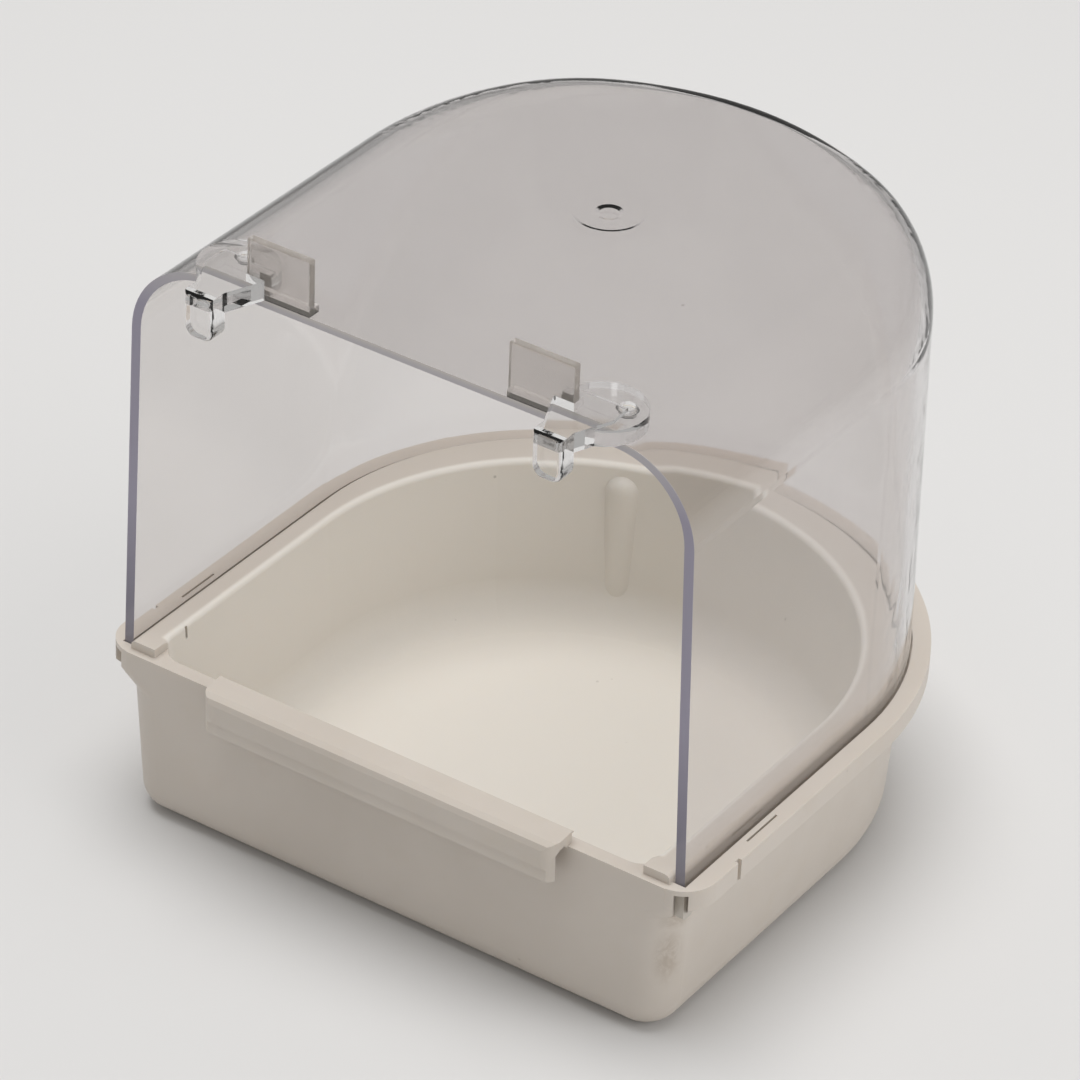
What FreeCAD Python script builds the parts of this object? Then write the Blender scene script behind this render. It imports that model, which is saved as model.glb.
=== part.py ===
import FreeCAD, Part
import os, math
import Sketcher
from FreeCAD import Vector as V, Placement, Rotation

# External bird bath: a clear open-front hood that stands in a channel round a
# D-shaped basin, with two hooks on its roof edge and a sill lip on the basin.
# Geometry is drawn with y = 0 on the hood's front plane and z = 0 on the
# underside; each sub-part's Placement moves it so that the middle of the
# basin's underside is the origin.

doc = FreeCAD.newDocument("bird_bath")

# ---------------------------------------------------------------- dimensions
sheet = doc.addObject("Spreadsheet::Sheet", "Dims")
DIMS = [
    ("origin_y", 64.0, "from front plane to the origin"),
    # hood
    ("hood_half", 70.0, "half width at the lower edge"),
    ("hood_deep", 132.3, "depth at the lower edge"),
    ("plan_corner", 63.2, "plan radius of the rear corners, lower edge"),
    ("plan_back", 85.2, "plan radius of the back, lower edge"),
    ("roof_half", 66.93, "half width at the roof"),
    ("roof_deep", 126.05, "depth at the roof"),
    ("roof_corner", 49.5, "plan radius of the rear corners, roof"),
    ("roof_back", 105.9, "plan radius of the back, roof"),
    ("hood_base", 36.4, "height of the lower edge, down in the channel"),
    ("hood_top", 135.4, "height of the roof"),
    ("hood_wall", 2.2, "side wall"),
    ("hood_roof", 1.7, "roof thickness"),
    ("round_side", 19.0, "roof round along the straight sides"),
    ("round_back", 2.4, "roof round at the middle of the back"),
    ("round_power", 1.4, "how fast the roof round falls off round the corners"),
    ("fore", 14.0, "blank runs this far before the front plane"),
    ("tab_in", 23.5, "tab inner edge from the middle"),
    ("tab_wide", 15.4, "tab width"),
    ("tab_high", 12.6, "tab height over the roof"),
    ("tab_thick", 2.0, "tab thickness"),
    ("root_high", 1.6, "thicker root under each tab"),
    ("foot_deep", 5.9, "front foot below the lower edge"),
    ("foot_long", 3.4, "front foot length"),
    # tray
    ("base_half", 66.8, "half width at the underside"),
    ("base_deep", 129.1, "depth at the underside"),
    ("base_front", 2.9, "front wall before the front plane, underside"),
    ("wall_half", 68.8, "half width under the rim"),
    ("wall_deep", 131.1, "depth under the rim"),
    ("wall_front", 3.0, "front wall before the front plane, at the rim"),
    ("front_corner", 8.0, "upright front corner radius"),
    ("rim_half", 74.2, "half width of the rim flange"),
    ("rim_out", 4.2, "rim flange beyond the hood"),
    ("rim_low", 34.4, "flange lower edge"),
    ("flare_low", 30.2, "where the flare starts"),
    ("rim_top", 39.2, "top of the outer lip and of the front rim"),
    ("band_top", 41.3, "top of the inner band"),
    ("band_round", 1.2, "round of the band's edges"),
    ("slot_floor", 36.2, "floor of the channel"),
    ("gap", 0.25, "running gap of hood and channel"),
    ("lean_gap", 0.35, "more on the inside, because the wall leans in"),
    ("bowl_half", 61.6, "half width of the basin at the rim"),
    ("bowl_slope", 1.6, "how much narrower it is at the floor"),
    ("front_wall", 3.2, "front wall thickness"),
    ("floor", 2.6, "floor thickness"),
    ("bowl_corner", 4.5, "upright front corners of the basin, at the rim"),
    ("bowl_corner_low", 12.0, "the same at the floor"),
    ("bowl_deep", 120.8, "depth of the basin at the rim"),
    ("bowl_rear", 60.5, "plan radius of the basin's rear corners"),
    ("bowl_back", 62.0, "plan radius of the basin's back"),
    ("foot_round", 6.0, "round of the underside edge"),
    ("bowl_round", 9.0, "round of the basin floor"),
    ("lip_half", 44.0, "half length of the sill lip"),
    ("lip_out", 8.4, "lip front face before the front plane"),
    ("lip_top", 42.0, "lip height at its root"),
    ("lip_low", 32.4, "lip tongue lower edge"),
    ("lip_thick", 1.7, "lip thickness"),
    ("rib_x", 24.0, "rib left of the middle"),
    ("rib_rad", 5.2, "rib radius"),
    ("rib_set", 12.9, "rib centre before the back of the hood"),
    # hooks
    ("hook_x", 41.3, "middle of each hook"),
    ("disc_rad", 8.8, "pad radius"),
    ("disc_y", 3.8, "pad centre behind the front plane"),
    ("disc_shift", 1.9, "pad centre outboard of the hook's middle"),
    ("arm_high", 4.5, "arm thickness over the roof"),
    ("arm_front", 12.6, "arm tip before the front plane"),
    ("tongue_half", 3.5, "half width of the drop tongue"),
    ("tongue_thick", 4.2, "thickness of the drop tongue"),
    ("tongue_low", 129.7, "height of the tongue's lower end"),
    ("peg_rad", 1.8, "radius of the peg's hole"),
    ("peg_gap", 0.05, "gap round the peg and under the hook"),
    ("peg_y", 8.6, "peg behind the front plane"),
    ("peg_shift", 4.2, "peg outboard of the hook's middle"),
]
for i, (name, value, note) in enumerate(DIMS, start=1):
    sheet.set("A%d" % i, name)
    sheet.set("B%d" % i, str(value))
    sheet.setAlias("B%d" % i, name)
    sheet.set("C%d" % i, note)
doc.recompute()


def q(name):
    return float(sheet.get(name))


def plane(body, role):
    for f in body.Origin.OriginFeatures:
        if f.Role == role:
            return f
    raise RuntimeError(role)


def body(label):
    b = doc.addObject("PartDesign::Body", label)
    b.Label = label
    return b


def sketch(b, name, role="XY_Plane", z=None, zexpr=None):
    s = b.newObject("Sketcher::SketchObject", name)
    s.AttachmentSupport = [(plane(b, role), "")]
    s.MapMode = "FlatFace"
    if zexpr:
        s.setExpression("AttachmentOffset.Base.z", zexpr)
    elif z is not None:
        s.AttachmentOffset = Placement(V(0, 0, z), Rotation())
    return s


def d_plan(s, half, front, deep, rc, rb, fc=None):
    """Outline with straight sides, rounded rear corners and a bowed back.

    Every argument is an expression on the sheet.  half: half width, front:
    distance of the front line before y = 0, deep: depth behind y = 0, rc:
    rear corner radius, rb: radius of the back, fc: front corner radius.
    """
    def val(e):
        env = {n: v for n, v, _ in DIMS}
        total, sign = 0.0, 1.0
        for tok in e.replace("Dims.", "").split():
            if tok == "+":
                sign = 1.0
            elif tok == "-":
                sign = -1.0
            else:
                total += sign * (env[tok] if tok in env else float(tok))
                sign = 1.0
        return total
    w, f, d, r, R = val(half), val(front), val(deep), val(rc), val(rb)
    # centre of the corner arc: (w - r, yc); back arc centre: (0, d - R)
    ax = w - r
    yb = d - R
    yc = yb + math.sqrt(max((R - r) ** 2 - ax ** 2, 1e-9))
    L = math.hypot(ax, yc - yb)
    tx, ty = ax + r * ax / L, yc + r * (yc - yb) / L
    ang = math.atan2(ty - yc, tx - ax)
    g = []
    C = Sketcher.Constraint
    k = val(fc) if fc else 0.0
    base = s.GeometryCount
    lines = []
    lines.append(Part.LineSegment(V(-w + k, -f, 0), V(w - k, -f, 0)))          # 0 front
    lines.append(Part.LineSegment(V(w, -f + k, 0), V(w, yc, 0)))               # 1 right
    lines.append(Part.ArcOfCircle(Part.Circle(V(ax, yc, 0), V(0, 0, 1), r), 0, ang))   # 2
    a2 = math.atan2(ty - yb, tx)
    lines.append(Part.ArcOfCircle(Part.Circle(V(0, yb, 0), V(0, 0, 1), R), a2, math.pi - a2))  # 3
    lines.append(Part.ArcOfCircle(Part.Circle(V(-ax, yc, 0), V(0, 0, 1), r), math.pi - ang, math.pi))  # 4
    lines.append(Part.LineSegment(V(-w, yc, 0), V(-w, -f + k, 0)))             # 5 left
    if fc:
        lines.append(Part.ArcOfCircle(Part.Circle(V(-w + k, -f + k, 0), V(0, 0, 1), k), math.pi, 1.5 * math.pi))  # 6
        lines.append(Part.ArcOfCircle(Part.Circle(V(w - k, -f + k, 0), V(0, 0, 1), k), 1.5 * math.pi, 2 * math.pi))  # 7
    s.addGeometry(lines, False)
    n = [base + i for i in range(len(lines))]
    cons = [
        C("Horizontal", n[0]), C("Vertical", n[1]), C("Vertical", n[5]),
        C("Tangent", n[1], 2, n[2], 1), C("Tangent", n[2], 2, n[3], 1),
        C("Tangent", n[3], 2, n[4], 1), C("Tangent", n[4], 2, n[5], 1),
        C("Equal", n[2], n[4]),
    ]
    if fc:
        cons += [C("Tangent", n[5], 2, n[6], 1), C("Tangent", n[6], 2, n[0], 1),
                 C("Tangent", n[0], 2, n[7], 1), C("Tangent", n[7], 2, n[1], 1),
                 C("Equal", n[6], n[7])]
    else:
        cons += [C("Coincident", n[5], 2, n[0], 1), C("Coincident", n[0], 2, n[1], 1)]
    s.addConstraint(cons)

    def dim(c, expr):
        i = s.addConstraint(c)
        s.setExpression("Constraints[%d]" % i, expr)
    s.addConstraint(C("PointOnObject", n[3], 3, -2))
    dim(C("Radius", n[2], r), rc)
    dim(C("Radius", n[3], R), rb)
    dim(C("DistanceX", -1, 1, n[1], 1, w), half)
    dim(C("DistanceX", n[5], 1, -1, 1, w), half)
    dim(C("DistanceY", n[0], 1, -1, 1, f), front)
    if fc:
        dim(C("Radius", n[7], k), fc)
    # back of the arc at depth d: centre sits at d - R
    dist = d - R
    if dist >= 0:
        dim(C("DistanceY", -1, 1, n[3], 3, dist), "(%s) - (%s)" % (deep, rb))
    else:
        dim(C("DistanceY", n[3], 3, -1, 1, -dist), "(%s) - (%s)" % (rb, deep))
    return s


def D(*names):
    out = []
    for n in names:
        out.append(n if n in "+-" else ("Dims." + n if not n.replace(".", "").isdigit() else n))
    return " ".join(out)


def pad(b, s, name, length_expr, taper_expr=None, reverse=False, mid=False):
    p = b.newObject("PartDesign::Pad", name)
    p.Profile = s
    p.setExpression("Length", length_expr)
    p.Reversed = reverse
    if mid:
        p.SideType = "Symmetric"
    if taper_expr:
        p.setExpression("TaperAngle", taper_expr)
    return p


def check_state():
    bad = []
    for o in doc.Objects:
        st = o.State
        if "Invalid" in st or "Error" in st:
            bad.append((o.Name, st))
    return bad


# ---------------------------------------------------------------------- hood
def loft(b, cls, name, a, z):
    f = b.newObject(cls, name)
    f.Profile = a
    f.Sections = [z]
    f.Ruled = True
    return f


# The roof round changes all the way along the rear corners, which no fillet or
# pad makes, so the two blanks are skinned from stations of that section.
def plan_stations(half, deep, rc, rb, fore, n_side=6, n_corner=15, n_back=19):
    """Five lists of (x, y, outward x, outward y), from right front to left front."""
    ax, yb = half - rc, deep - rb
    yc = yb + math.sqrt((rb - rc) ** 2 - ax ** 2)
    ang = math.atan2(yc - yb, ax)
    side = [(half, -fore + (yc + fore) * i / (n_side - 1), 1.0, 0.0) for i in range(n_side)]
    corner = []
    for i in range(n_corner):
        t = ang * i / (n_corner - 1)
        corner.append((ax + rc * math.cos(t), yc + rc * math.sin(t), math.cos(t), math.sin(t)))
    back = []
    for i in range(n_back):
        t = ang + (math.pi - 2 * ang) * i / (n_back - 1)
        back.append((rb * math.cos(t), yb + rb * math.sin(t), math.cos(t), math.sin(t)))
    mirror = lambda rows: [(-x, y, -u, v) for x, y, u, v in reversed(rows)]
    return [side, corner, back, mirror(corner), mirror(side)]


def hood_blank(name, inset, fore, ztop):
    zb = q("hood_base")
    low = plan_stations(q("hood_half") - inset, q("hood_deep") - inset, q("plan_corner") - inset,
                        q("plan_back") - inset, fore)
    high = plan_stations(q("roof_half") - inset, q("roof_deep") - inset, q("roof_corner") - inset,
                         q("roof_back") - inset, fore)
    half = q("roof_half") - inset
    faces, base_edges, roof_edges, ends = [], [], [], []
    for rows_l, rows_h in zip(low, high):
        grid, foot = [], []
        for (xl, yl, _, _), (xh, yh, u, v) in zip(rows_l, rows_h):
            c = min(1.0, abs(xh) / half) ** 1.25
            r = q("round_back") + (q("round_side") - q("round_back")) * c ** q("round_power")
            r = max(r - inset, 0.5)
            top, out = V(xh, yh, ztop), V(u, v, 0)
            down = (V(xl, yl, zb) - top).normalize()
            into = V(-u, -v, 0)
            alpha = down.getAngle(into)
            reach = r / math.tan(alpha / 2)
            centre = top + (down + into).normalize() * (r / math.sin(alpha / 2))
            p0, p1 = top + down * reach, top + into * reach
            a, b = p0 - centre, p1 - centre
            w = a.getAngle(b)
            row = []
            for j in range(9):
                t = j / 8.0
                row.append(centre + a * (math.sin((1 - t) * w) / math.sin(w)) + b * (math.sin(t * w) / math.sin(w)))
            grid.append(row)
            foot.append(V(xl, yl, zb))
        surf = Part.BSplineSurface()
        surf.interpolate(grid)
        u0, u1, v0, v1 = surf.bounds()
        faces.append(surf.toShape())
        low_edge, high_edge = surf.vIso(v0).toShape(), surf.vIso(v1).toShape()
        curve = Part.BSplineCurve()
        curve.interpolate(foot)
        foot_edge = curve.toShape()
        faces.append(Part.makeRuledSurface(foot_edge, low_edge))
        base_edges.append(foot_edge)
        roof_edges.append(high_edge)
        ends.append((foot[0], foot[-1], grid[0], grid[-1], surf.uIso(u0).toShape(), surf.uIso(u1).toShape()))
    r0, l1 = ends[0], ends[-1]
    faces.append(Part.Face(Part.Wire(Part.__sortEdges__(base_edges + [Part.makeLine(l1[1], r0[0])]))))
    faces.append(Part.Face(Part.Wire(Part.__sortEdges__(roof_edges + [Part.makeLine(l1[3][-1], r0[2][-1])]))))
    faces.append(Part.Face(Part.Wire(Part.__sortEdges__([
        Part.makeLine(l1[1], r0[0]), Part.makeLine(r0[0], r0[2][0]), r0[4],
        Part.makeLine(r0[2][-1], l1[3][-1]), l1[5], Part.makeLine(l1[3][0], l1[1])]))))
    shell = Part.makeShell(faces)
    shell.sewShape()
    solid = Part.makeSolid(Part.Shell(shell.Faces))
    if solid.Volume < 0:
        solid.reverse()
    o = doc.addObject("Part::Feature", name)
    o.Shape = solid
    print(name, round(solid.Volume), solid.isValid(), solid.isClosed(), solid.BoundBox)
    return o


ro = hood_blank("HoodOuterBlank", 0.0, q("fore"), q("hood_top"))
ri = hood_blank("HoodInnerBlank", q("hood_wall"), q("fore") + q("hood_wall"), q("hood_top") - q("hood_roof"))

shell = doc.addObject("Part::Cut", "HoodShell")
shell.Base, shell.Tool = ro, ri

trim = doc.addObject("Part::Box", "FrontTrim")
trim.Length, trim.Width, trim.Height = 200, 40, 200
trim.Placement.Base = V(-100, -40, 0)
open_shell = doc.addObject("Part::Cut", "HoodOpenShell")
open_shell.Base, open_shell.Tool = shell, trim
doc.recompute()


def box(name, x0, y0, z0, lx, ly, lz):
    """Box whose corner and sizes are expressions on the sheet."""
    b = doc.addObject("Part::Box", name)
    for prop, e in (("Length", lx), ("Width", ly), ("Height", lz)):
        b.setExpression(prop, e)
    for ax, e in (("x", x0), ("y", y0), ("z", z0)):
        b.setExpression("Placement.Base." + ax, e)
    return b


adds = []
for side, sx in (("R", "Dims.tab_in"), ("L", "-Dims.tab_in - Dims.tab_wide")):
    adds.append(box("Tab" + side, sx, "0", "Dims.hood_top - 0.5", "Dims.tab_wide", "Dims.tab_thick",
                    "Dims.tab_high + 0.5"))
    adds.append(box("TabRoot" + side, sx, "0", "Dims.hood_top - 0.5", "Dims.tab_wide", "Dims.tab_thick + 1.2",
                    "Dims.root_high + 0.5"))
for side, sx in (("R", "Dims.hood_half - Dims.hood_wall"), ("L", "-Dims.hood_half")):
    adds.append(box("Foot" + side, sx, "0", "Dims.hood_base - Dims.foot_deep", "Dims.hood_wall",
                    "Dims.foot_long", "Dims.foot_deep + 0.5"))
doc.recompute()

# Soften the tabs' free corners.
soft = []
for o in adds:
    if o.Name.startswith("Tab") and "Root" not in o.Name:
        f = doc.addObject("Part::Fillet", o.Name + "Soft")
        f.Base = o
        spec = []
        for i, e in enumerate(o.Shape.Edges, start=1):
            bb = e.BoundBox
            if abs(bb.ZMin - bb.ZMax) < 1e-6 and bb.ZMax > q("hood_top") + 2:
                spec.append((i, 0.45, 0.45))
            elif bb.ZMax - bb.ZMin > 5:
                spec.append((i, 0.45, 0.45))
        f.Edges = spec
        soft.append(f)
    elif "Foot" in o.Name:
        f = doc.addObject("Part::Fillet", o.Name + "Soft")
        f.Base = o
        spec = [(i, 1.0, 1.0) for i, e in enumerate(o.Shape.Edges, start=1)
                if e.BoundBox.XMax - e.BoundBox.XMin > 1 and e.BoundBox.ZMax < q("hood_base")]
        f.Edges = spec
        soft.append(f)
    else:
        soft.append(o)
doc.recompute()

hood_fuse = doc.addObject("Part::MultiFuse", "HoodWithTabs")
hood_fuse.Shapes = [open_shell] + soft

pegs = []
for side, sign in (("R", ""), ("L", "-")):
    c = doc.addObject("Part::Cylinder", "PegHole" + side)
    c.setExpression("Radius", "Dims.peg_rad")
    c.Height = 12
    c.setExpression("Placement.Base.x", sign + "(Dims.hook_x + Dims.peg_shift)")
    c.setExpression("Placement.Base.y", "Dims.peg_y")
    c.setExpression("Placement.Base.z", "Dims.hood_top - 6")
    pegs.append(c)
gate = doc.addObject("Part::Cone", "GateDimple")
gate.Radius1, gate.Radius2, gate.Height = 2.2, 3.6, 0.5
gate.Placement.Base = V(0, 70, q("hood_top") - 0.2)
gate_rim = doc.addObject("Part::Cone", "GateRim")
gate_rim.Radius1, gate_rim.Radius2, gate_rim.Height = 8.9, 7.2, 0.5
gate_rim.Placement.Base = V(0, 70, q("hood_top") - 0.38)
holes = doc.addObject("Part::MultiFuse", "HoodHoles")
holes.Shapes = pegs + [gate]
doc.recompute()
hood_boss = doc.addObject("Part::MultiFuse", "HoodWithBoss")
hood_boss.Shapes = [hood_fuse, gate_rim]
hood_boss.Refine = True
hood = doc.addObject("Part::Cut", "HoodFinal")
hood.Base, hood.Tool = hood_boss, holes
hood.Refine = True
hood.Label = "hood"
doc.recompute()
print("hood", hood.Shape.Volume, hood.Shape.isValid(), len(hood.Shape.Solids), hood.Shape.BoundBox)

# ---------------------------------------------------------------------- tray
tray = body("tray_blank")


s0 = sketch(tray, "BasePlan")
d_plan(s0, "Dims.base_half", "Dims.base_front", "Dims.base_deep", "Dims.plan_corner - 3.2", "Dims.plan_back - 3.2", "Dims.front_corner")
s1 = sketch(tray, "WallPlan", zexpr="Dims.flare_low")
d_plan(s1, "Dims.wall_half", "Dims.wall_front", "Dims.wall_deep", "Dims.plan_corner - 1.2", "Dims.plan_back - 1.2", "Dims.front_corner")
loft(tray, "PartDesign::AdditiveLoft", "OuterWall", s0, s1)
doc.recompute()
s2 = sketch(tray, "FlarePlanLow", zexpr="Dims.flare_low")
d_plan(s2, "Dims.wall_half", "Dims.wall_front", "Dims.wall_deep", "Dims.plan_corner - 1.2", "Dims.plan_back - 1.2", "Dims.front_corner")
s3 = sketch(tray, "FlarePlanHigh", zexpr="Dims.rim_low")
RIM = ("Dims.rim_half", "Dims.wall_front", "Dims.hood_deep + Dims.rim_out",
       "Dims.plan_corner + Dims.rim_out", "Dims.plan_back + Dims.rim_out", "Dims.front_corner")
d_plan(s3, *RIM)
loft(tray, "PartDesign::AdditiveLoft", "RimFlare", s2, s3)
doc.recompute()
s4 = sketch(tray, "RimPlan", zexpr="Dims.rim_low")
d_plan(s4, *RIM)
pad(tray, s4, "RimPad", "Dims.rim_top - Dims.rim_low")
doc.recompute()
print("rim", tray.Shape.Volume, tray.Shape.isValid())

# channel for the hood: cleared to its floor, then the core is put back
def pocket(b, s, name, length_expr):
    before = b.Shape.Volume
    p = b.newObject("PartDesign::Pocket", name)
    p.Profile = s
    p.setExpression("Length", length_expr)
    doc.recompute()
    if b.Shape.Volume >= before - 1e-6:
        p.Reversed = not p.Reversed
        doc.recompute()
    if b.Shape.Volume >= before - 1e-6:
        raise RuntimeError(name + " cuts nothing")
    return p


sp = sketch(tray, "ChannelPlan", zexpr="Dims.rim_top")
d_plan(sp, "Dims.hood_half + Dims.gap", "Dims.gap", "Dims.hood_deep + Dims.gap",
       "Dims.plan_corner + Dims.gap", "Dims.plan_back + Dims.gap")
pocket(tray, sp, "ChannelPocket", "Dims.rim_top - Dims.slot_floor")
sc = sketch(tray, "CorePlan", zexpr="Dims.slot_floor")
CORE = ("Dims.hood_deep - Dims.hood_wall - Dims.gap - Dims.lean_gap",
        "Dims.plan_corner - Dims.hood_wall - Dims.gap - Dims.lean_gap",
        "Dims.plan_back - Dims.hood_wall - Dims.gap - Dims.lean_gap")
d_plan(sc, "Dims.hood_half - Dims.hood_wall - Dims.gap - Dims.lean_gap", "Dims.wall_front", *CORE)
pad(tray, sc, "CorePad", "Dims.rim_top - Dims.slot_floor")
doc.recompute()

# inner band, a little over the outer lip, from the front corners round the back
s5 = sketch(tray, "BandPlan", zexpr="Dims.rim_top")
d_plan(s5, "Dims.hood_half - Dims.hood_wall - Dims.gap - Dims.lean_gap", "1.4", *CORE)
pad(tray, s5, "BandPad", "Dims.band_top - Dims.rim_top")
doc.recompute()

# basin hollow
s6 = sketch(tray, "BowlPlanTop", zexpr="Dims.band_top + 2.0")
d_plan(s6, "Dims.bowl_half", "Dims.wall_front - Dims.front_wall", "Dims.bowl_deep",
       "Dims.bowl_rear", "Dims.bowl_back", "Dims.bowl_corner")
s7 = sketch(tray, "BowlPlanFloor", zexpr="Dims.floor")
d_plan(s7, "Dims.bowl_half - Dims.bowl_slope", "Dims.wall_front - Dims.front_wall - 0.6",
       "Dims.bowl_deep - Dims.bowl_slope", "Dims.bowl_rear - Dims.bowl_slope",
       "Dims.bowl_back - Dims.bowl_slope", "Dims.bowl_corner_low")
before = tray.Shape.Volume
loft(tray, "PartDesign::SubtractiveLoft", "Bowl", s6, s7)
doc.recompute()
print("bowl", before, tray.Shape.Volume, tray.Shape.isValid(), check_state())


def edges_at(shape, z, inside=None):
    out = []
    for i, e in enumerate(shape.Edges, start=1):
        bb = e.BoundBox
        if abs(bb.ZMin - z) < 2e-3 and abs(bb.ZMax - z) < 2e-3 and (inside is None or inside(bb)):
            out.append("Edge%d" % i)
    return out


tip = tray.Tip
f = tray.newObject("PartDesign::Fillet", "UndersideRound")
f.Base = (tip, edges_at(tip.Shape, 0.0))
f.setExpression("Radius", "Dims.foot_round")
doc.recompute()
print("underside", tray.Shape.Volume, tray.Shape.isValid(), check_state())
tip = tray.Tip
f = tray.newObject("PartDesign::Fillet", "BasinFloorRound")
f.Base = (tip, edges_at(tip.Shape, q("floor")))
f.setExpression("Radius", "Dims.bowl_round")
doc.recompute()
print("floor", tray.Shape.Volume, tray.Shape.isValid(), check_state())

# the band is rounded over on both sides
for name, radius, side in (("BandInnerRound", "Dims.band_round", lambda bb: bb.YMax < q("bowl_deep") + 0.5
                            and max(-bb.XMin, bb.XMax) < q("bowl_half") + 0.5 and bb.YMin > -0.5),
                           ("BandOuterRound", "Dims.band_round", lambda bb: max(-bb.XMin, bb.XMax) > q("bowl_half") + 2
                            and bb.YMax > 0 or bb.YMax > q("bowl_deep") + 2)):
    tip = tray.Tip
    before = tray.Shape.Volume
    f = tray.newObject("PartDesign::Fillet", name)
    f.Base = (tip, edges_at(tip.Shape, q("band_top"), side))
    f.setExpression("Radius", radius)
    doc.recompute()
    print(name, round(before, 1), round(tray.Shape.Volume, 1), tray.Shape.isValid(), check_state())

# sill lip: a downward-opening channel along the front wall
lip = body("lip_section")


def poly(s, pts):
    """Closed polygon; pts are (horizontal, vertical) expressions with values."""
    n0 = s.GeometryCount
    P = [V(a[1], b[1], 0) for a, b in pts]
    N = len(P)
    s.addGeometry([Part.LineSegment(P[i], P[(i + 1) % N]) for i in range(N)], False)
    s.addConstraint([Sketcher.Constraint("Coincident", n0 + i, 2, n0 + (i + 1) % N, 1) for i in range(N)])
    for i, (a, b) in enumerate(pts):
        for kind, (e, v) in (("DistanceX", a), ("DistanceY", b)):
            if abs(v) < 1e-9:
                s.addConstraint(Sketcher.Constraint("PointOnObject", n0 + i, 1, -2 if kind == "DistanceX" else -1))
            elif v > 0:
                k = s.addConstraint(Sketcher.Constraint(kind, -1, 1, n0 + i, 1, v))
                s.setExpression("Constraints[%d]" % k, e)
            else:
                k = s.addConstraint(Sketcher.Constraint(kind, n0 + i, 1, -1, 1, -v))
                s.setExpression("Constraints[%d]" % k, "-(%s)" % e)


def ex(expr):
    """An expression on the sheet with its present value."""
    env = {n: v for n, v, _ in DIMS}
    total, sign = 0.0, 1.0
    toks = expr.split()
    for tok in toks:
        if tok == "+":
            sign = 1.0
        elif tok == "-":
            sign = -1.0
        else:
            total += sign * (env[tok] if tok in env else float(tok))
            sign = 1.0
    text = " ".join(t if (t in "+-" or t not in env) else "Dims." + t for t in toks)
    return (text, total)


sl = sketch(lip, "LipSection", "YZ_Plane")
poly(sl, [
    (ex("0.15"), ex("rim_top - 1.5")),
    (ex("0.15"), ex("lip_top - 1.6")),
    (ex("0 - 1.3"), ex("lip_top")),
    (ex("1.7 - lip_out"), ex("lip_top - 0.35")),
    (ex("0.4 - lip_out"), ex("lip_top - 0.95")),
    (ex("0 - lip_out"), ex("lip_top - 2.2")),
    (ex("0 - lip_out"), ex("lip_low + 3.1")),
    (ex("0.4 - lip_out"), ex("lip_low + 2.8")),
    (ex("0.4 - lip_out"), ex("lip_low")),
    (ex("lip_thick + 0.1 - lip_out"), ex("lip_low")),
    (ex("lip_thick - lip_out"), ex("lip_top - lip_thick - 1.7")),
    (ex("lip_thick + 1.0 - lip_out"), ex("lip_top - lip_thick - 0.6")),
    (ex("0 - wall_front - 1.2"), ex("lip_top - lip_thick - 0.5")),
    (ex("0 - wall_front"), ex("lip_top - lip_thick - 1.6")),
    (ex("0 - wall_front + 1.0"), ex("rim_top - 1.5")),
])
pl = pad(lip, sl, "LipPad", "2 * Dims.lip_half", mid=True)
doc.recompute()
print("lip", lip.Shape.Volume, lip.Shape.BoundBox)

# the lip's ends are rounded in plan: common with a rounded slab
slab = doc.addObject("Part::Box", "LipPlanSlab")
slab.setExpression("Length", "2 * Dims.lip_half")
slab.setExpression("Width", "Dims.lip_out + 6")
slab.Height = 20
slab.setExpression("Placement.Base.x", "-Dims.lip_half")
slab.setExpression("Placement.Base.y", "-Dims.lip_out")
slab.Placement.Base.z = 28
doc.recompute()
slab_r = doc.addObject("Part::Fillet", "LipPlanRound")
slab_r.Base = slab
slab_r.Edges = [(i, 3.2, 3.2) for i, e in enumerate(slab.Shape.Edges, start=1)
                if e.BoundBox.ZMax - e.BoundBox.ZMin > 10 and e.BoundBox.YMax < -1]
doc.recompute()
lip_c = doc.addObject("Part::Common", "LipRounded")
lip_c.Base, lip_c.Tool = lip, slab_r

# upright rib on the rear of the basin, left of the middle, rounded on top
ribs = []
for side, sg in (("L", "-"),):
    c = doc.addObject("Part::Cylinder", "Rib" + side)
    c.setExpression("Radius", "Dims.rib_rad")
    c.setExpression("Height", "Dims.rim_top - 4.5 - Dims.floor")
    c.setExpression("Placement.Base.x", sg + "Dims.rib_x")
    c.setExpression("Placement.Base.y", "Dims.hood_deep - Dims.rib_set")
    c.setExpression("Placement.Base.z", "Dims.floor")
    sp_ = doc.addObject("Part::Sphere", "RibTop" + side)
    sp_.setExpression("Radius", "Dims.rib_rad")
    sp_.setExpression("Placement.Base.x", sg + "Dims.rib_x")
    sp_.setExpression("Placement.Base.y", "Dims.hood_deep - Dims.rib_set")
    sp_.setExpression("Placement.Base.z", "Dims.rim_top - 4.5")
    ribs += [c, sp_]
doc.recompute()
rib_all = doc.addObject("Part::MultiFuse", "RibsRaw")
rib_all.Shapes = ribs
# keep the rib inside the basin wall
keep = doc.addObject("Part::Box", "RibKeep")
keep.Length, keep.Width, keep.Height = 80, 6.4, 60
keep.setExpression("Placement.Base.x", "-40")
keep.setExpression("Placement.Base.y", "Dims.hood_deep - Dims.rib_set - 7")
keep.Placement.Base.z = 0.5
rib_in = doc.addObject("Part::Common", "RibsInside")
rib_in.Base, rib_in.Tool = rib_all, keep
doc.recompute()

tray_fuse = doc.addObject("Part::MultiFuse", "TrayWithLip")
tray_fuse.Shapes = [tray, lip_c, rib_in]
doc.recompute()
print("fuse", tray_fuse.Shape.Volume, tray_fuse.Shape.isValid(), len(tray_fuse.Shape.Solids))

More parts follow.
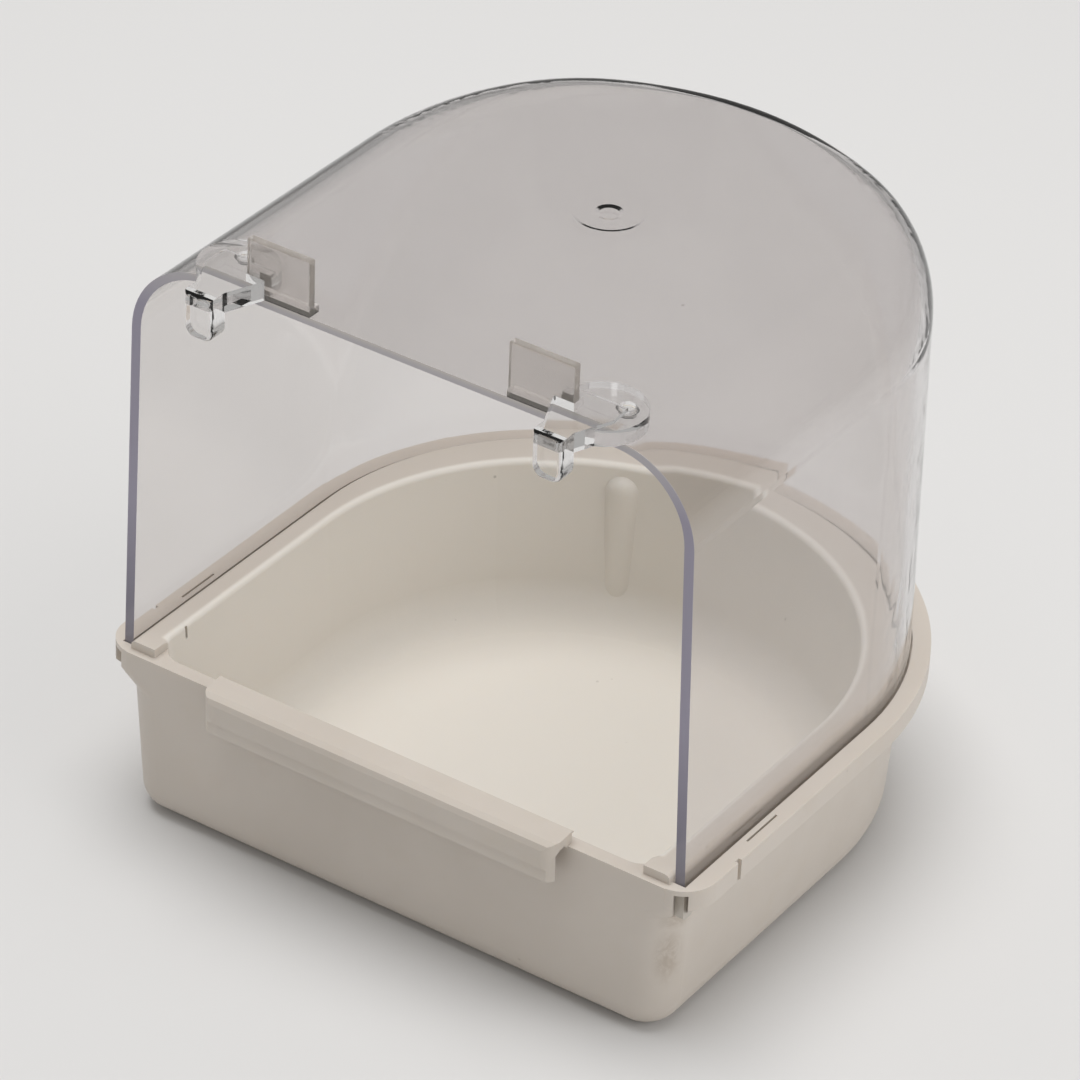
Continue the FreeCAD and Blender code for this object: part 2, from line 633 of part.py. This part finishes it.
cuts = []
for side, x_of in (("R", lambda a, w: a), ("L", lambda a, w: "-(%s) - (%s)" % (a, w))):
    # pocket for the hood's front foot, open to the channel above it
    a, w = "Dims.hood_half - Dims.hood_wall - Dims.gap - Dims.lean_gap", "Dims.hood_wall + 2 * Dims.gap + Dims.lean_gap"
    cuts.append(box("FootPocket" + side, x_of(a, w), "-Dims.gap", "Dims.hood_base - Dims.foot_deep - 0.3",
                    w, "Dims.foot_long + 2 * Dims.gap", "Dims.foot_deep + 1.0"))
    # window across the corner, through which the foot shows
    sg = 1 if side == "R" else -1
    wb = doc.addObject("Part::Box", "FootWindow" + side)
    wb.Length, wb.Width = 3.0, 8.0
    wb.setExpression("Height", "Dims.rim_top - 1.2 - Dims.hood_base + Dims.foot_deep")
    wb.Placement = Placement(V(0, 0, 0), Rotation(V(0, 0, 1), sg * 33))
    ca, sa = math.cos(math.radians(33)), math.sin(math.radians(33))
    # its near end is centred on the foot's outer front edge
    px_, py_ = sg * (q("hood_half") - 1.1), 0.4
    wb.Placement.Base = V(px_ - 1.5 * ca + 8.0 * sg * sa, py_ - 1.5 * sg * sa - 8.0 * ca,
                          q("hood_base") - q("foot_deep"))
    cuts.append(wb)
    # upright groove in the flange
    a, w = "Dims.rim_half - 0.8", "2"
    cuts.append(box("FlangeGroove" + side, x_of(a, w), "12.9", "Dims.rim_low - 1", w, "1.3", "8"))
    # thin relief slit in the top of the outer lip
    a, w = "Dims.hood_half + 1.4", "0.5"
    cuts.append(box("ReliefSlit" + side, x_of(a, w), "20", "Dims.rim_top - 1.3", w, "11", "3"))
    # short upright groove in the band's inner face
    a, w = "Dims.bowl_half - 1.0", "2.2"
    cuts.append(box("BandGroove" + side, x_of(a, w), "9.6", "Dims.rim_top - 1.4", w, "0.7", "3"))
# the band ends at the front corners: the front wall is as low as the outer lip
cuts.append(box("FrontClear", "-Dims.bowl_half + 0.6", "-1.6", "Dims.rim_top", "2 * Dims.bowl_half - 1.2", "7.6", "2.3"))
doc.recompute()
cut_all = doc.addObject("Part::MultiFuse", "TrayCuts")
cut_all.Shapes = cuts
doc.recompute()
tray_final = doc.addObject("Part::Cut", "TrayFinal")
tray_final.Base, tray_final.Tool = tray_fuse, cut_all
tray_final.Refine = True
tray_final.Label = "tray"
doc.recompute()
print("tray", tray_final.Shape.Volume, tray_final.Shape.isValid(), len(tray_final.Shape.Solids), tray_final.Shape.BoundBox)

# --------------------------------------------------------------------- hooks
hooks = []
for side, sg in (("right", 1.0), ("left", -1.0)):
    b = body("hook_%s_arm" % side)
    X = lambda e: ("(%s)" % e) if sg > 0 else "-(%s)" % e
    cx = q("hook_x") + q("disc_shift")
    s_ = sketch(b, "Pad_" + side, zexpr="Dims.hood_top + Dims.peg_gap")
    s_.addGeometry(Part.Circle(V(sg * cx, q("disc_y"), 0), V(0, 0, 1), q("disc_rad")), False)
    k = s_.addConstraint(Sketcher.Constraint("Radius", 0, q("disc_rad")))
    s_.setExpression("Constraints[%d]" % k, "Dims.disc_rad")
    if sg > 0:
        k = s_.addConstraint(Sketcher.Constraint("DistanceX", -1, 1, 0, 3, cx))
    else:
        k = s_.addConstraint(Sketcher.Constraint("DistanceX", 0, 3, -1, 1, cx))
    s_.setExpression("Constraints[%d]" % k, "Dims.hook_x + Dims.disc_shift")
    k = s_.addConstraint(Sketcher.Constraint("DistanceY", -1, 1, 0, 3, q("disc_y")))
    s_.setExpression("Constraints[%d]" % k, "Dims.disc_y")
    pad(b, s_, "DiscPad_" + side, "Dims.arm_high - 0.9")
    doc.recompute()
    s_ = sketch(b, "Arm_" + side, zexpr="Dims.hood_top + Dims.peg_gap")

    def px(e):
        t, v = ex(e)
        return (t, v) if sg > 0 else ("-(%s)" % t, -v)
    pts = [
        (px("hook_x - 6.6"), ex("5.0")),
        (px("hook_x - 6.9"), ex("0 - 0.5")),
        (px("hook_x - tongue_half"), ex("0 - 8.6")),
        (px("hook_x - tongue_half"), ex("0 - arm_front")),
        (px("hook_x + tongue_half"), ex("0 - arm_front")),
        (px("hook_x + tongue_half"), ex("0 - 8.6")),
        (px("hook_x + 6.9"), ex("0 - 0.5")),
        (px("hook_x + 6.6"), ex("5.0")),
    ]
    poly(s_, pts)
    pad(b, s_, "ArmPad_" + side, "Dims.arm_high - Dims.peg_gap")
    doc.recompute()
    s_ = sketch(b, "Tongue_" + side, zexpr="Dims.tongue_low")
    pts = [
        (px("hook_x - tongue_half"), ex("tongue_thick - arm_front")),
        (px("hook_x - tongue_half"), ex("0 - arm_front")),
        (px("hook_x + tongue_half"), ex("0 - arm_front")),
        (px("hook_x + tongue_half"), ex("tongue_thick - arm_front")),
    ]
    poly(s_, pts)
    pad(b, s_, "TonguePad_" + side, "Dims.hood_top + 1 - Dims.tongue_low")
    doc.recompute()
    # rounded lower end and softened tip
    tip = b.Tip
    low = []
    for i, e in enumerate(tip.Shape.Edges, start=1):
        bb = e.BoundBox
        if bb.ZMax < q("tongue_low") + 1e-3 and bb.YMax - bb.YMin > 1 and bb.XMax - bb.XMin < 1e-3:
            low.append("Edge%d" % i)
    f = b.newObject("PartDesign::Fillet", "TongueRound_" + side)
    f.Base = (tip, low)
    f.Radius = 2.6
    doc.recompute()
    tip = b.Tip
    up = []
    for i, e in enumerate(tip.Shape.Edges, start=1):
        bb = e.BoundBox
        if bb.ZMax - bb.ZMin > 2 and bb.YMax < -q("arm_front") + 1e-3:
            up.append("Edge%d" % i)
        elif abs(bb.ZMin - q("hood_top") - q("arm_high")) < 1e-3 and bb.YMax < -q("arm_front") + 1e-3:
            up.append("Edge%d" % i)
    f = b.newObject("PartDesign::Fillet", "TipSoft_" + side)
    f.Base = (tip, up)
    f.Radius = 1.0
    doc.recompute()
    print(side, len(low), len(up), b.Shape.Volume, b.Shape.isValid(), check_state())
    peg = doc.addObject("Part::Cylinder", "Peg_" + side)
    peg.setExpression("Radius", "Dims.peg_rad - Dims.peg_gap")
    peg.setExpression("Height", "Dims.hood_roof + 1.6")
    head = doc.addObject("Part::Cone", "PegHead_" + side)
    head.setExpression("Radius1", "Dims.peg_rad - 0.3")
    head.setExpression("Radius2", "Dims.peg_rad + 0.5")
    head.Height = 1.0
    for o, z in ((peg, "Dims.hood_top - Dims.hood_roof - 1.0"), (head, "Dims.hood_top - Dims.hood_roof - 1.0 - Dims.peg_gap")):
        o.setExpression("Placement.Base.x", "%s(Dims.hook_x + Dims.peg_shift)" % ("" if sg > 0 else "-"))
        o.setExpression("Placement.Base.y", "Dims.peg_y")
        o.setExpression("Placement.Base.z", z)
    doc.recompute()
    fz = doc.addObject("Part::MultiFuse", "Hook_" + side)
    fz.Shapes = [b, peg, head]
    # the pad is notched round the tab that stands beside it
    tb = box("TabNotch_" + side, "%sDims.tab_in%s" % ("" if sg > 0 else "-", "" if sg > 0 else " - Dims.tab_wide - 0.05"),
             "-0.05", "Dims.hood_top - 0.1", "Dims.tab_wide + 0.05", "Dims.tab_thick + 1.3", "20")
    doc.recompute()
    ck = doc.addObject("Part::Cut", "HookNotched_" + side)
    ck.Base, ck.Tool = fz, tb
    ck.Refine = True
    ck.Label = "hook_" + side
    hooks.append(ck)
doc.recompute()

# ------------------------------------------------------------------- writing
final = [tray_final, hood] + hooks
for o in final:
    o.setExpression("Placement.Base.y", "-Dims.origin_y")
doc.recompute()
bad = check_state()
if bad:
    raise RuntimeError("failed objects: %r" % bad)
os.makedirs("parts", exist_ok=True)
for o in final:
    sh = o.Shape
    if sh.isNull() or not sh.isValid() or len(sh.Solids) != 1:
        raise RuntimeError("bad shape " + o.Label)
for o in final:
    o.Shape.exportStep("parts/%s.step" % o.Label)
    bb = o.Shape.optimalBoundingBox()
    print("%-12s %9.1f mm3  x %.2f..%.2f  y %.2f..%.2f  z %.2f..%.2f" % (
        o.Label, o.Shape.Volume, bb.XMin, bb.XMax, bb.YMin, bb.YMax, bb.ZMin, bb.ZMax))
for i in range(len(final)):
    for j in range(i + 1, len(final)):
        v = final[i].Shape.common(final[j].Shape).Volume
        if v > 1e-4:
            cb = final[i].Shape.common(final[j].Shape).BoundBox
            print("overlap", final[i].Label, final[j].Label, round(v, 4), cb)
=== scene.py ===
import bpy, math
from mathutils import Vector, Matrix

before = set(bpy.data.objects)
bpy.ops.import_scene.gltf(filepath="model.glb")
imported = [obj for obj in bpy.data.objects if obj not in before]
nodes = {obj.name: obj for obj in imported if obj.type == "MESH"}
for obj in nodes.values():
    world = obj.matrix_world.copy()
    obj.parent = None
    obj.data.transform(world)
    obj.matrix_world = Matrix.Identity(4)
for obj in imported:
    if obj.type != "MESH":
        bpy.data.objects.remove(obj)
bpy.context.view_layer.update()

sc = bpy.context.scene


# ------------------------------------------------------------------ materials
def new_mat(name):
    m = bpy.data.materials.new(name)
    m.use_nodes = True
    nt = m.node_tree
    b = nt.nodes["Principled BSDF"]
    return m, nt, b


def ramp(nt, fac, stops, loc=(0, 0)):
    r = nt.nodes.new("ShaderNodeValToRGB")
    e = r.color_ramp.elements
    while len(e) < len(stops):
        e.new(0.5)
    for el, (p, c) in zip(e, stops):
        el.position = p
        el.color = (*c, 1) if len(c) == 3 else c
    nt.links.new(fac, r.inputs["Fac"])
    return r


def noise(nt, coord, scale, detail=4, rough=0.5, dist=0.0):
    n = nt.nodes.new("ShaderNodeTexNoise")
    n.inputs["Scale"].default_value = scale
    n.inputs["Detail"].default_value = detail
    n.inputs["Roughness"].default_value = rough
    n.inputs["Distortion"].default_value = dist
    nt.links.new(coord, n.inputs["Vector"])
    return n


def mix_col(nt, fac, a, b, blend="MIX"):
    m = nt.nodes.new("ShaderNodeMix")
    m.data_type = "RGBA"
    m.blend_type = blend
    if isinstance(fac, (int, float)):
        m.inputs["Factor"].default_value = fac
    else:
        nt.links.new(fac, m.inputs["Factor"])
    for sock, v in ((m.inputs[6], a), (m.inputs[7], b)):
        if isinstance(v, tuple):
            sock.default_value = (*v, 1)
        else:
            nt.links.new(v, sock)
    return m.outputs[2]


def map_range(nt, value, f0, f1, t0, t1, smooth=False):
    n = nt.nodes.new("ShaderNodeMapRange")
    if smooth:
        n.interpolation_type = "SMOOTHSTEP"
    for k, v in (("From Min", f0), ("From Max", f1), ("To Min", t0), ("To Max", t1)):
        n.inputs[k].default_value = v
    nt.links.new(value, n.inputs["Value"])
    return n.outputs["Result"]


def math_node(nt, op, a, b):
    n = nt.nodes.new("ShaderNodeMath")
    n.operation = op
    for i, v in enumerate((a, b)):
        if isinstance(v, (int, float)):
            n.inputs[i].default_value = v
        else:
            nt.links.new(v, n.inputs[i])
    return n.outputs[0]


def blob(nt, obj, centre, size):
    """1 inside a soft ellipsoid round centre, 0 outside; sizes in metres."""
    s_ = nt.nodes.new("ShaderNodeVectorMath")
    s_.operation = "SUBTRACT"
    s_.inputs[1].default_value = centre
    nt.links.new(obj, s_.inputs[0])
    d = nt.nodes.new("ShaderNodeVectorMath")
    d.operation = "DIVIDE"
    d.inputs[1].default_value = size
    nt.links.new(s_.outputs[0], d.inputs[0])
    ln = nt.nodes.new("ShaderNodeVectorMath")
    ln.operation = "LENGTH"
    nt.links.new(d.outputs[0], ln.inputs[0])
    return map_range(nt, ln.outputs["Value"], 0.10, 1.0, 1.0, 0.0, True)


def ivory_plastic():
    m, nt, b = new_mat("ivory_moulded")
    tc = nt.nodes.new("ShaderNodeTexCoord")
    obj = tc.outputs["Object"]
    big = noise(nt, obj, 16, 4, 0.55, 0.6)
    mid = noise(nt, obj, 90, 4, 0.6)
    fine = noise(nt, obj, 900, 3, 0.6)
    col = ramp(nt, big.outputs["Fac"], [(0.28, IVORY_A), (0.72, IVORY_B)])
    # faint yellower clouds and hard-water marks; the noise covers the whole tray, not just low in the basin
    cloud = map_range(nt, mid.outputs["Fac"], 0.52, 0.75, 0.0, 0.16, True)
    c2 = mix_col(nt, cloud, col.outputs["Color"], (0.60, 0.53, 0.43))
    # painted light: the inside of the basin is painted whiter than the outside, standing in for light that the
    # hood keeps out of the basin
    sp = nt.nodes.new("ShaderNodeSeparateXYZ")
    nt.links.new(obj, sp.inputs[0])
    ax = math_node(nt, "ABSOLUTE", sp.outputs["X"], 0.0)
    back = math_node(nt, "MAXIMUM", math_node(nt, "ADD", sp.outputs["Y"], 0.0035), 0.0)
    qx = math_node(nt, "POWER", math_node(nt, "DIVIDE", ax, 0.0620), 2.0)
    qy = math_node(nt, "POWER", math_node(nt, "DIVIDE", back, 0.0612), 2.0)
    ind = map_range(nt, math_node(nt, "ADD", qx, qy), 1.0, 1.04, 1.0, 0.0, True)
    iny = map_range(nt, sp.outputs["Y"], -0.0612, -0.0605, 0.0, 1.0)
    inz = map_range(nt, sp.outputs["Z"], 0.0022, 0.0026, 0.0, 1.0)
    inside = math_node(nt, "MULTIPLY", math_node(nt, "MULTIPLY", ind, inz), iny)
    c2 = mix_col(nt, math_node(nt, "MULTIPLY", inside, 0.90), c2, (0.80, 0.765, 0.705))
    # sparse dark specks of dust
    vor = nt.nodes.new("ShaderNodeTexVoronoi")
    vor.inputs["Scale"].default_value = 170
    nt.links.new(obj, vor.inputs["Vector"])
    speck = map_range(nt, vor.outputs["Distance"], 0.035, 0.09, 0.45, 0.0, True)
    gate = map_range(nt, mid.outputs["Fac"], 0.60, 0.66, 0.0, 1.0, True)
    c3 = mix_col(nt, math_node(nt, "MULTIPLY", speck, gate), c2, (0.20, 0.17, 0.13))
    # brown scuff down the right front corner, under the end of the flange
    streak = noise(nt, obj, 260, 4, 0.7, 1.2)
    torn = map_range(nt, streak.outputs["Fac"], 0.36, 0.60, 0.30, 1.0, True)
    k1 = blob(nt, obj, (0.0665, -0.0630, 0.0200), (0.0036, 0.0050, 0.0095))
    k2 = blob(nt, obj, (0.0668, -0.0620, 0.0290), (0.0045, 0.0050, 0.0034))
    scuff = math_node(nt, "MULTIPLY", math_node(nt, "MAXIMUM", k1, k2), torn)
    c4 = mix_col(nt, math_node(nt, "MULTIPLY", scuff, 0.50), c3, (0.34, 0.27, 0.20))
    nt.links.new(c4, b.inputs["Base Color"])
    rr = map_range(nt, mid.outputs["Fac"], 0.3, 0.7, 0.34, 0.48)
    nt.links.new(rr, b.inputs["Roughness"])
    b.inputs["Subsurface Weight"].default_value = 0.10
    b.inputs["Subsurface Radius"].default_value = (0.004, 0.0032, 0.0024)
    b.inputs["Subsurface Scale"].default_value = 1.0
    bump = nt.nodes.new("ShaderNodeBump")
    bump.inputs["Strength"].default_value = 0.06
    bump.inputs["Distance"].default_value = 0.0002
    nt.links.new(fine.outputs["Fac"], bump.inputs["Height"])
    nt.links.new(bump.outputs["Normal"], b.inputs["Normal"])
    return m


def clear_plastic(name, tint, absorb, density, rough=0.02, ior=1.5, through=(1, 1, 1), specks=True, edge=False):
    """Clear moulding; lamps shine through it."""
    m, nt, b = new_mat(name)
    b.inputs["Transmission Weight"].default_value = 1.0
    b.inputs["IOR"].default_value = ior
    tc = nt.nodes.new("ShaderNodeTexCoord")
    obj = tc.outputs["Object"]
    n = noise(nt, obj, 45, 4, 0.55)
    nt.links.new(map_range(nt, n.outputs["Fac"], 0.35, 0.7, rough, rough + 0.03), b.inputs["Roughness"])
    soft = mix_col(nt, map_range(nt, n.outputs["Fac"], 0.3, 0.75, 0.0, 1.0), tint, tuple(0.985 * c for c in tint))
    if specks:
        vor = nt.nodes.new("ShaderNodeTexVoronoi")
        vor.inputs["Scale"].default_value = 62
        nt.links.new(obj, vor.inputs["Vector"])
        speck = map_range(nt, vor.outputs["Distance"], 0.018, 0.030, 0.7, 0.0, True)
        keep = map_range(nt, n.outputs["Fac"], 0.57, 0.60, 0.0, 1.0, True)
        soft = mix_col(nt, math_node(nt, "MULTIPLY", speck, keep), soft, (0.30, 0.27, 0.24))
    nt.links.new(soft, b.inputs["Base Color"])
    wave = noise(nt, obj, 22, 2, 0.5)
    bump = nt.nodes.new("ShaderNodeBump")
    bump.inputs["Strength"].default_value = 0.02
    bump.inputs["Distance"].default_value = 0.001
    nt.links.new(wave.outputs["Fac"], bump.inputs["Height"])
    nt.links.new(bump.outputs["Normal"], b.inputs["Normal"])
    shader = b.outputs["BSDF"]
    if edge:
        # painted light: the cut front edge gets an opaque painted grey-violet strip standing in for the light the
        # wall pipes from inside it,
        #         with painted highlight paler up by the roof and painted shade darker down by the channel
        sep = nt.nodes.new("ShaderNodeSeparateXYZ")
        nt.links.new(obj, sep.inputs[0])
        front = map_range(nt, sep.outputs["Y"], -0.06392, -0.06398, 0.0, 1.0)
        below = map_range(nt, sep.outputs["Z"], 0.13535, 0.13545, 1.0, 0.0)
        fac = math_node(nt, "MULTIPLY", math_node(nt, "MULTIPLY", front, below), 0.86)
        # the tabs on the roof's front edge get a little of the same painted light strip, so they look warmer and
        # less clear
        tabs = math_node(nt, "MULTIPLY", map_range(nt, sep.outputs["Y"], -0.0600, -0.0604, 0.0, 1.0),
                         map_range(nt, sep.outputs["Z"], 0.13552, 0.13560, 0.0, 1.0))
        fac = math_node(nt, "MAXIMUM", fac, math_node(nt, "MULTIPLY", tabs, 0.22))
        # painted light: the lower edge down in the channel gets a pale ivory strip too, painted over the shade of
        # the channel gap
        channel_painted_light = map_range(nt, sep.outputs["Z"], 0.0366, 0.0372, 1.0, 0.0)
        fac = math_node(nt, "MAXIMUM", fac, math_node(nt, "MULTIPLY", channel_painted_light, 0.80))
        up = map_range(nt, sep.outputs["Z"], 0.034, 0.138, 0.0, 1.0)
        painted_light_tone = ramp(nt, up, [(0.0, PAINTED_EDGE_LIGHT[3]), (0.03, PAINTED_EDGE_LIGHT[3]), (0.05, PAINTED_EDGE_LIGHT[0]), (0.40, PAINTED_EDGE_LIGHT[1]),
                             (0.86, PAINTED_EDGE_LIGHT[1]), (0.965, PAINTED_EDGE_LIGHT[2]), (0.980, PAINTED_EDGE_LIGHT[4])])
        strip = nt.nodes.new("ShaderNodeBsdfPrincipled")
        nt.links.new(painted_light_tone.outputs["Color"], strip.inputs["Base Color"])
        strip.inputs["Roughness"].default_value = 0.35
        strip.inputs["IOR"].default_value = 1.49
        em = nt.nodes.new("ShaderNodeMixShader")
        nt.links.new(fac, em.inputs[0])
        nt.links.new(b.outputs["BSDF"], em.inputs[1])
        nt.links.new(strip.outputs["BSDF"], em.inputs[2])
        shader = em.outputs["Shader"]
    out = nt.nodes["Material Output"]
    lp = nt.nodes.new("ShaderNodeLightPath")
    tr = nt.nodes.new("ShaderNodeBsdfTransparent")
    tr.inputs["Color"].default_value = (*through, 1)
    mx = nt.nodes.new("ShaderNodeMixShader")
    nt.links.new(lp.outputs["Is Shadow Ray"], mx.inputs[0])
    nt.links.new(shader, mx.inputs[1])
    nt.links.new(tr.outputs["BSDF"], mx.inputs[2])
    nt.links.new(mx.outputs["Shader"], out.inputs["Surface"])
    if density > 0:
        v = nt.nodes.new("ShaderNodeVolumeAbsorption")
        v.inputs["Color"].default_value = (*absorb, 1)
        v.inputs["Density"].default_value = density
        nt.links.new(v.outputs["Volume"], out.inputs["Volume"])
    return m


IVORY_A = (0.585, 0.530, 0.470)
IVORY_B = (0.640, 0.585, 0.525)
# painted light tones for the hood's cut edge strip: dark low, violet, pale by the roof, ivory channel edge, pale
# top
PAINTED_EDGE_LIGHT = ((0.20, 0.19, 0.235), (0.40, 0.375, 0.475), (0.60, 0.575, 0.60),
        (0.60, 0.56, 0.50), (0.80, 0.74, 0.67))
M_TRAY = ivory_plastic()
M_HOOD = clear_plastic("clear_hood_plastic", (0.845, 0.825, 0.82), (0.50, 0.47, 0.62), 6,
                       through=(1.0, 0.995, 0.99), edge=True)
M_HOOK = clear_plastic("clear_hook_plastic", (0.98, 0.98, 0.98), (0.5, 0.5, 0.5), 0, rough=0.0,
                       through=(0.96, 0.96, 0.96), specks=False)


def assign(o, m):
    o.data.materials.clear()
    o.data.materials.append(m)


assign(nodes["tray"], M_TRAY)
assign(nodes["hood"], M_HOOD)
assign(nodes["hook_left"], M_HOOK)
assign(nodes["hook_right"], M_HOOK)

# ---------------------------------------------------------------- the studio
bpy.ops.mesh.primitive_plane_add(size=6, location=(0, 0, -0.0002))
floor = bpy.context.object
floor.name = "studio_floor"
m, nt, b = new_mat("floor_paper")
b.inputs["Base Color"].default_value = (0.70, 0.695, 0.69, 1)
b.inputs["Roughness"].default_value = 0.9
floor.data.materials.append(m)

w = bpy.data.worlds.new("studio")
sc.world = w
w.use_nodes = True
bg = w.node_tree.nodes["Background"]
bg.inputs["Color"].default_value = (1, 0.985, 0.965, 1)
bg.inputs["Strength"].default_value = 0.40


def area(name, loc, target, size, power, color=(1, 1, 1), gloss=False):
    l = bpy.data.lights.new(name, "AREA")
    l.shape = "RECTANGLE"
    l.size, l.size_y = size
    l.energy = power
    l.color = color
    o = bpy.data.objects.new(name, l)
    o.location = loc
    d = Vector(target) - Vector(loc)
    o.rotation_euler = d.to_track_quat("-Z", "Y").to_euler()
    sc.collection.objects.link(o)
    o.visible_glossy = gloss
    o.visible_transmission = gloss
    return o


area("top_soft", (-0.15, 0.10, 1.25), (0, 0, 0.05), (1.1, 1.1), 12.5)
area("right_soft", (1.3, 0.2, 0.55), (0, 0, 0.07), (0.9, 0.9), 5.4)
area("front_soft", (0.25, -1.4, 0.9), (0, 0, 0.07), (0.35, 0.35), 0.4, gloss=True)

# -------------------------------------------------------------------- camera
cam = bpy.data.cameras.new("camera")
cam.sensor_width = 36
cam.lens = 184.5376
cam.clip_start = 0.05
cam.clip_end = 20
co = bpy.data.objects.new("camera", cam)
R = Vector((0.823006, 0.566975, 0.034648))
U = Vector((-0.338538, 0.440605, 0.83142))
B = Vector((0.456128, -0.695994, 0.554563))
rot = Matrix((R, U, B)).transposed().to_4x4()
co.matrix_world = Matrix.Translation((0.521037, -0.809523, 0.700124)) @ rot
sc.collection.objects.link(co)
sc.camera = co
sc.view_settings.view_transform = "Standard"
